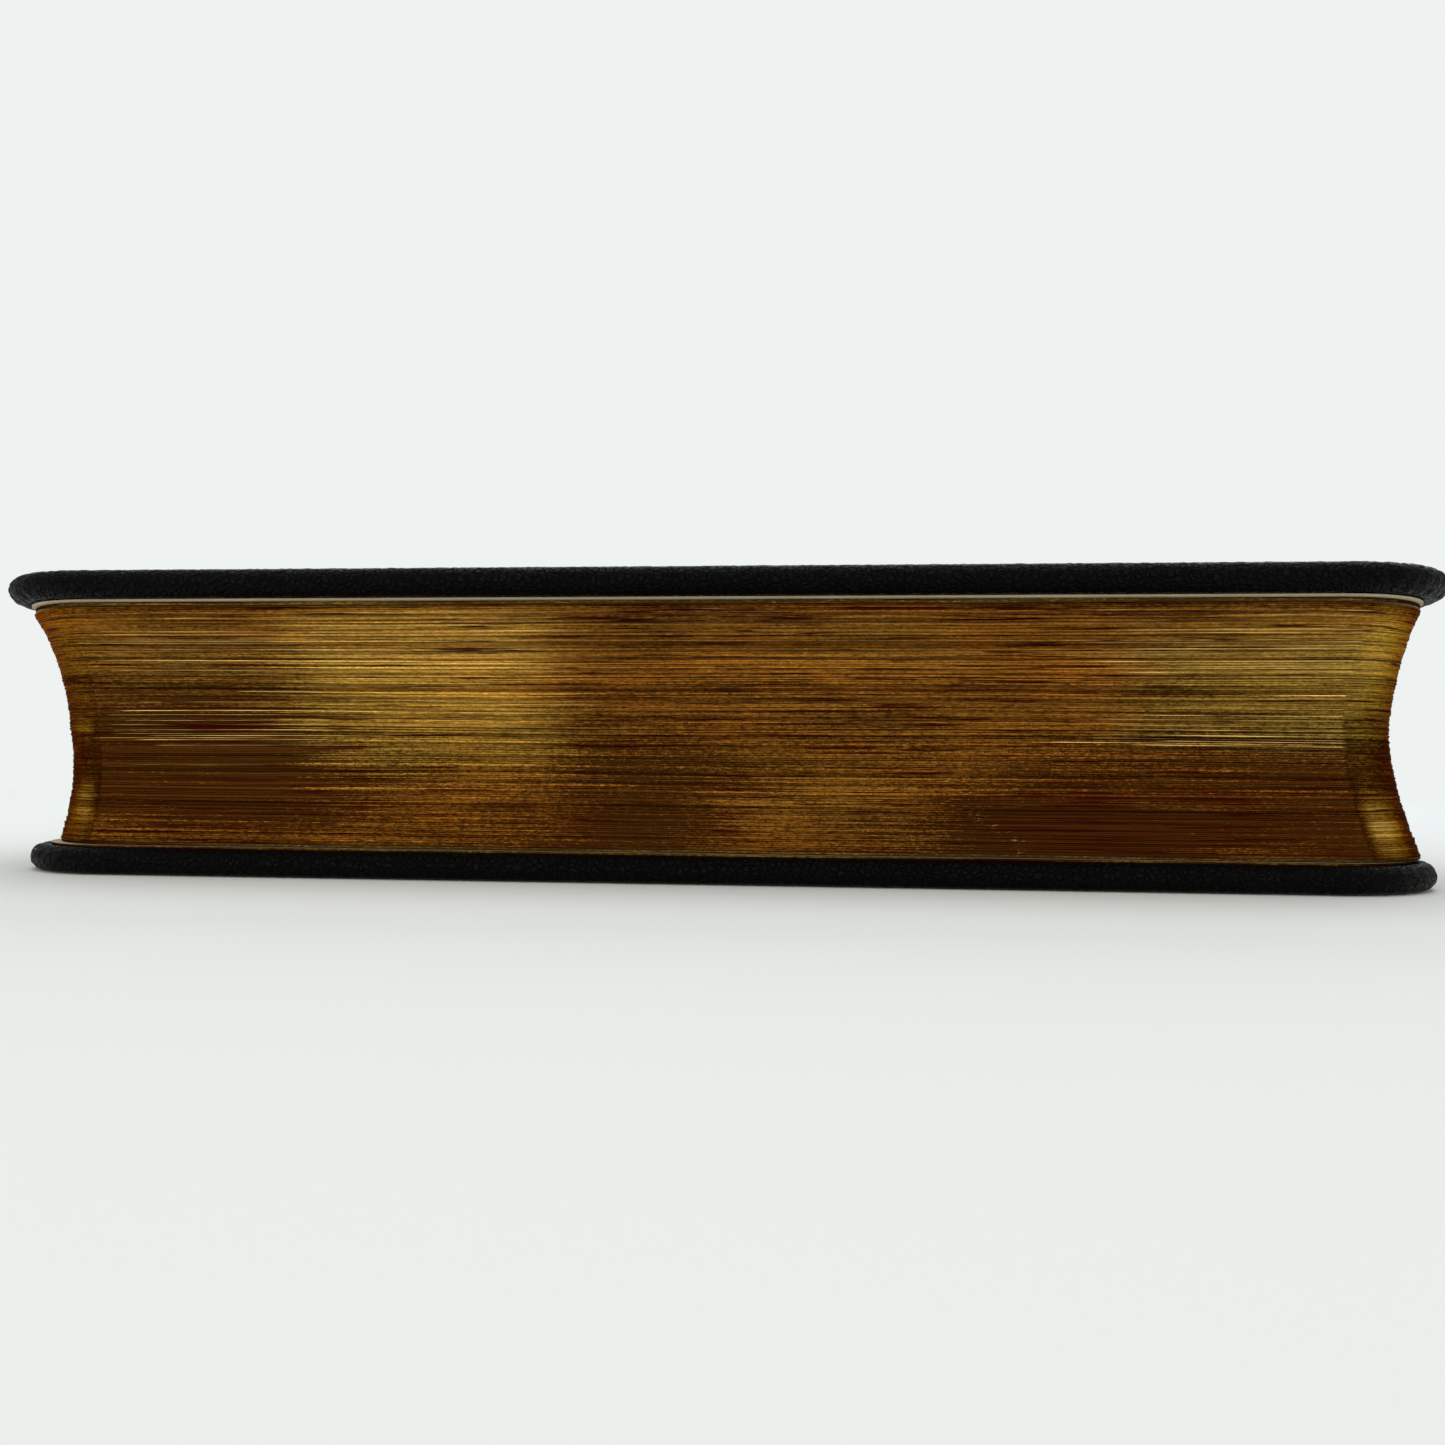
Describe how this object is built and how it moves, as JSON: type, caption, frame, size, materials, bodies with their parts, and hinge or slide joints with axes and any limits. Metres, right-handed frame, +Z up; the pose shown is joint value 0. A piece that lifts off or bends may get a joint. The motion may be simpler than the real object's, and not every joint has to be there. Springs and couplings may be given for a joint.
{
  "type": "prayer book",
  "caption": "Small leather-bound prayer book with soft rounded covers, rounded corners, sewn gatherings and gilt-over-red page edges; both covers open and the front leaves fan out.",
  "frame": {"origin": "middle of the closed book's footprint, on the surface that the back cover lies on", "axes": "+X from tail to head, -Y towards the fore-edge and +Y towards the spine, +Z up from the back cover to the front cover"},
  "size_m": [0.146, 0.096, 0.0302],
  "materials": {
    "leather": "black pebble-grained goatskin, softly polished by handling, edges turned in",
    "board": "grey-brown pasteboard, matt",
    "endpaper": "cream laid paper, matt, slightly cockled",
    "gilt_leaves": "thin cream leaves, their cut edges stained red and gilt, rubbed and darkened with use",
    "linen": "unbleached linen thread and open-weave mull, glued",
    "band_silk": "end band sewn in red and cream silk"
  },
  "bodies": {
    "text_block": {"gathering_15": "gilt_leaves", "gathering_16": "gilt_leaves", "gathering_17": "gilt_leaves", "gathering_18": "gilt_leaves", "gathering_19": "gilt_leaves", "gathering_20": "gilt_leaves", "gathering_21": "gilt_leaves", "gathering_22": "gilt_leaves", "gathering_23": "gilt_leaves", "gathering_24": "gilt_leaves", "gathering_25": "gilt_leaves", "gathering_26": "gilt_leaves", "gathering_27": "gilt_leaves", "gathering_28": "gilt_leaves", "sewn_folds_1": "gilt_leaves", "sewn_folds_2": "gilt_leaves", "sewn_folds_3": "gilt_leaves", "sewn_folds_4": "gilt_leaves", "sewn_folds_5": "gilt_leaves", "sewn_folds_6": "gilt_leaves", "sewn_folds_7": "gilt_leaves", "sewing_thread_1": "linen", "sewing_thread_2": "linen", "sewing_thread_3": "linen", "sewing_thread_4": "linen", "sewing_thread_5": "linen", "mull_cloth": "linen", "hollow_lining": "board", "spine_inlay": "board", "head_band": "band_silk", "tail_band": "band_silk", "spine_leather": "leather", "back_flyleaf": "endpaper", "front_endpaper_hinge": "endpaper"},
    "front_cover": {"front_leather": "leather", "front_board": "board", "front_pastedown": "endpaper", "front_joint_leather": "leather"},
    "back_cover": {"back_leather": "leather", "back_board": "board", "back_pastedown": "endpaper", "back_joint_leather": "leather"},
    "front_endleaf": {"front_flyleaf": "endpaper"},
    "leaves_1": {"gathering_01": "gilt_leaves", "gathering_02": "gilt_leaves"},
    "leaves_2": {"gathering_03": "gilt_leaves", "gathering_04": "gilt_leaves"},
    "leaves_3": {"gathering_05": "gilt_leaves", "gathering_06": "gilt_leaves"},
    "leaves_4": {"gathering_07": "gilt_leaves", "gathering_08": "gilt_leaves"},
    "leaves_5": {"gathering_09": "gilt_leaves", "gathering_10": "gilt_leaves"},
    "leaves_6": {"gathering_11": "gilt_leaves", "gathering_12": "gilt_leaves"},
    "leaves_7": {"gathering_13": "gilt_leaves", "gathering_14": "gilt_leaves"}
  },
  "joints": [
    {"name": "front_cover_hinge", "type": "hinge", "parent": "text_block", "child": "front_cover", "pos_m": [0, 0.04, 0.0282], "axis": [-1, 0, 0], "range_deg": [0, 180], "deforming": ["front_joint_leather"]},
    {"name": "back_cover_hinge", "type": "hinge", "parent": "text_block", "child": "back_cover", "pos_m": [0, 0.04, 0.002], "axis": [1, 0, 0], "range_deg": [0, 180], "deforming": ["back_joint_leather"]},
    {"name": "front_flyleaf_turn", "type": "hinge", "parent": "text_block", "child": "front_endleaf", "pos_m": [0, 0.0395, 0.0271], "axis": [-1, 0, 0], "range_deg": [0, 162], "deforming": ["front_endpaper_hinge"]},
    {"name": "leaves_1_turn", "type": "hinge", "parent": "text_block", "child": "leaves_1", "pos_m": [0, 0.0386, 0.02521], "axis": [-1, 0, 0], "range_deg": [0, 105], "deforming": ["sewn_folds_1"]},
    {"name": "leaves_2_turn", "type": "hinge", "parent": "text_block", "child": "leaves_2", "pos_m": [0, 0.0386, 0.02353], "axis": [-1, 0, 0], "range_deg": [0, 90], "deforming": ["sewn_folds_2"]},
    {"name": "leaves_3_turn", "type": "hinge", "parent": "text_block", "child": "leaves_3", "pos_m": [0, 0.0386, 0.02184], "axis": [-1, 0, 0], "range_deg": [0, 75], "deforming": ["sewn_folds_3"]},
    {"name": "leaves_4_turn", "type": "hinge", "parent": "text_block", "child": "leaves_4", "pos_m": [0, 0.0386, 0.02016], "axis": [-1, 0, 0], "range_deg": [0, 60], "deforming": ["sewn_folds_4"]},
    {"name": "leaves_5_turn", "type": "hinge", "parent": "text_block", "child": "leaves_5", "pos_m": [0, 0.0386, 0.01847], "axis": [-1, 0, 0], "range_deg": [0, 45], "deforming": ["sewn_folds_5"]},
    {"name": "leaves_6_turn", "type": "hinge", "parent": "text_block", "child": "leaves_6", "pos_m": [0, 0.0386, 0.01679], "axis": [-1, 0, 0], "range_deg": [0, 30], "deforming": ["sewn_folds_6"]},
    {"name": "leaves_7_turn", "type": "hinge", "parent": "text_block", "child": "leaves_7", "pos_m": [0, 0.0386, 0.0151], "axis": [-1, 0, 0], "range_deg": [0, 15], "deforming": ["sewn_folds_7"]}
  ],
  "couplings": [
    {"joint": "front_flyleaf_turn", "follows": "front_cover_hinge", "ratio": 0.9},
    {"joint": "leaves_1_turn", "follows": "front_cover_hinge", "ratio": 0.58333},
    {"joint": "leaves_2_turn", "follows": "front_cover_hinge", "ratio": 0.5},
    {"joint": "leaves_3_turn", "follows": "front_cover_hinge", "ratio": 0.41667},
    {"joint": "leaves_4_turn", "follows": "front_cover_hinge", "ratio": 0.33333},
    {"joint": "leaves_5_turn", "follows": "front_cover_hinge", "ratio": 0.25},
    {"joint": "leaves_6_turn", "follows": "front_cover_hinge", "ratio": 0.16667},
    {"joint": "leaves_7_turn", "follows": "front_cover_hinge", "ratio": 0.083333}
  ]
}
